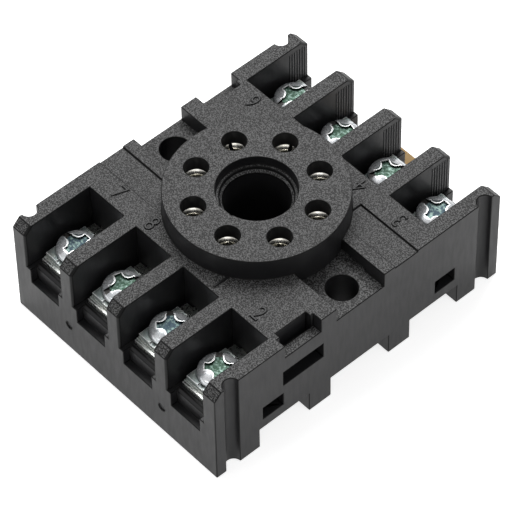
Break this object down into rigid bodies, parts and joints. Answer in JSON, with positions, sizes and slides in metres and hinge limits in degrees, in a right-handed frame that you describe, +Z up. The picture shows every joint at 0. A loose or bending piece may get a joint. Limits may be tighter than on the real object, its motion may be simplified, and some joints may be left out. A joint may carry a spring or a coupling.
{
  "type": "octal relay socket",
  "caption": "Black octal relay socket with a raised pin disc, keyed centre bore, rows of clamp screw terminals in open compartments, and a sprung latch for a rail.",
  "frame": {"origin": "under the centre of the pin circle, in the plane of the feet's undersides", "axes": "+X along the terminal rows, from terminal 7 to terminal 2; +Y from the row with the keyway to the row with the rail latch; +Z up, out of the pin disc"},
  "size_m": [0.0396, 0.0545, 0.0204],
  "materials": {
    "housing_plastic": "fine-grained black moulding",
    "base_plastic": "smooth black moulding",
    "latch_plastic": "smooth yellow-brown moulding",
    "contact_metal": "rolled and lightly polished",
    "terminal_metal": "bright plated",
    "clamp_steel": "satin zinc plated",
    "screw_steel": "bright zinc plated",
    "spring_steel": "bright spring strip"
  },
  "bodies": {
    "housing": {"upper_housing": "housing_plastic", "base_plate": "base_plastic", "latch_spring": "spring_steel", "contact_1": "contact_metal", "contact_2": "contact_metal", "contact_3": "contact_metal", "contact_4": "contact_metal", "contact_5": "contact_metal", "contact_6": "contact_metal", "contact_7": "contact_metal", "contact_8": "contact_metal", "terminal_1": "terminal_metal", "terminal_2": "terminal_metal", "terminal_3": "terminal_metal", "terminal_4": "terminal_metal", "terminal_5": "terminal_metal", "terminal_6": "terminal_metal", "terminal_7": "terminal_metal", "terminal_8": "terminal_metal"},
    "clamp_1_body": {"clamp_1": "clamp_steel"},
    "screw_1_body": {"screw_1": "screw_steel"},
    "clamp_2_body": {"clamp_2": "clamp_steel"},
    "screw_2_body": {"screw_2": "screw_steel"},
    "clamp_3_body": {"clamp_3": "clamp_steel"},
    "screw_3_body": {"screw_3": "screw_steel"},
    "clamp_4_body": {"clamp_4": "clamp_steel"},
    "screw_4_body": {"screw_4": "screw_steel"},
    "clamp_5_body": {"clamp_5": "clamp_steel"},
    "screw_5_body": {"screw_5": "screw_steel"},
    "clamp_6_body": {"clamp_6": "clamp_steel"},
    "screw_6_body": {"screw_6": "screw_steel"},
    "clamp_7_body": {"clamp_7": "clamp_steel"},
    "screw_7_body": {"screw_7": "screw_steel"},
    "clamp_8_body": {"clamp_8": "clamp_steel"},
    "screw_8_body": {"screw_8": "screw_steel"},
    "latch": {"rail_latch": "latch_plastic"}
  },
  "joints": [
    {"name": "clamp_1_lift", "type": "slide", "parent": "housing", "child": "clamp_1_body", "axis": [0, 0, 1], "range_m": [0, 0.0025]},
    {"name": "screw_1_turn", "type": "hinge", "parent": "clamp_1_body", "child": "screw_1_body", "pos_m": [0.00463, -0.01928, 0.0114], "axis": [0, 0, 1], "range_deg": [0, 1800]},
    {"name": "clamp_2_lift", "type": "slide", "parent": "housing", "child": "clamp_2_body", "axis": [0, 0, 1], "range_m": [0, 0.0025]},
    {"name": "screw_2_turn", "type": "hinge", "parent": "clamp_2_body", "child": "screw_2_body", "pos_m": [0.01389, -0.01928, 0.0114], "axis": [0, 0, 1], "range_deg": [0, 1800]},
    {"name": "clamp_3_lift", "type": "slide", "parent": "housing", "child": "clamp_3_body", "axis": [0, 0, 1], "range_m": [0, 0.0025]},
    {"name": "screw_3_turn", "type": "hinge", "parent": "clamp_3_body", "child": "screw_3_body", "pos_m": [0.01389, 0.01928, 0.0114], "axis": [0, 0, 1], "range_deg": [0, 1800]},
    {"name": "clamp_4_lift", "type": "slide", "parent": "housing", "child": "clamp_4_body", "axis": [0, 0, 1], "range_m": [0, 0.0025]},
    {"name": "screw_4_turn", "type": "hinge", "parent": "clamp_4_body", "child": "screw_4_body", "pos_m": [0.00463, 0.01928, 0.0114], "axis": [0, 0, 1], "range_deg": [0, 1800]},
    {"name": "clamp_5_lift", "type": "slide", "parent": "housing", "child": "clamp_5_body", "axis": [0, 0, 1], "range_m": [0, 0.0025]},
    {"name": "screw_5_turn", "type": "hinge", "parent": "clamp_5_body", "child": "screw_5_body", "pos_m": [-0.00463, 0.01928, 0.0114], "axis": [0, 0, 1], "range_deg": [0, 1800]},
    {"name": "clamp_6_lift", "type": "slide", "parent": "housing", "child": "clamp_6_body", "axis": [0, 0, 1], "range_m": [0, 0.0025]},
    {"name": "screw_6_turn", "type": "hinge", "parent": "clamp_6_body", "child": "screw_6_body", "pos_m": [-0.01389, 0.01928, 0.0114], "axis": [0, 0, 1], "range_deg": [0, 1800]},
    {"name": "clamp_7_lift", "type": "slide", "parent": "housing", "child": "clamp_7_body", "axis": [0, 0, 1], "range_m": [0, 0.0025]},
    {"name": "screw_7_turn", "type": "hinge", "parent": "clamp_7_body", "child": "screw_7_body", "pos_m": [-0.01389, -0.01928, 0.0114], "axis": [0, 0, 1], "range_deg": [0, 1800]},
    {"name": "clamp_8_lift", "type": "slide", "parent": "housing", "child": "clamp_8_body", "axis": [0, 0, 1], "range_m": [0, 0.0025]},
    {"name": "screw_8_turn", "type": "hinge", "parent": "clamp_8_body", "child": "screw_8_body", "pos_m": [-0.00463, -0.01928, 0.0114], "axis": [0, 0, 1], "range_deg": [0, 1800]},
    {"name": "latch_slide", "type": "slide", "parent": "housing", "child": "latch", "axis": [0, 1, 0], "range_m": [0, 0.0022], "stiffness_N_per_m": 1200, "springref_m": -0.0008, "deforming": ["latch_spring"]}
  ],
  "couplings": [
    {"joint": "screw_1_turn", "follows": "clamp_1_lift", "rad_per_m": 12566},
    {"joint": "screw_2_turn", "follows": "clamp_2_lift", "rad_per_m": 12566},
    {"joint": "screw_3_turn", "follows": "clamp_3_lift", "rad_per_m": 12566},
    {"joint": "screw_4_turn", "follows": "clamp_4_lift", "rad_per_m": 12566},
    {"joint": "screw_5_turn", "follows": "clamp_5_lift", "rad_per_m": 12566},
    {"joint": "screw_6_turn", "follows": "clamp_6_lift", "rad_per_m": 12566},
    {"joint": "screw_7_turn", "follows": "clamp_7_lift", "rad_per_m": 12566},
    {"joint": "screw_8_turn", "follows": "clamp_8_lift", "rad_per_m": 12566}
  ]
}
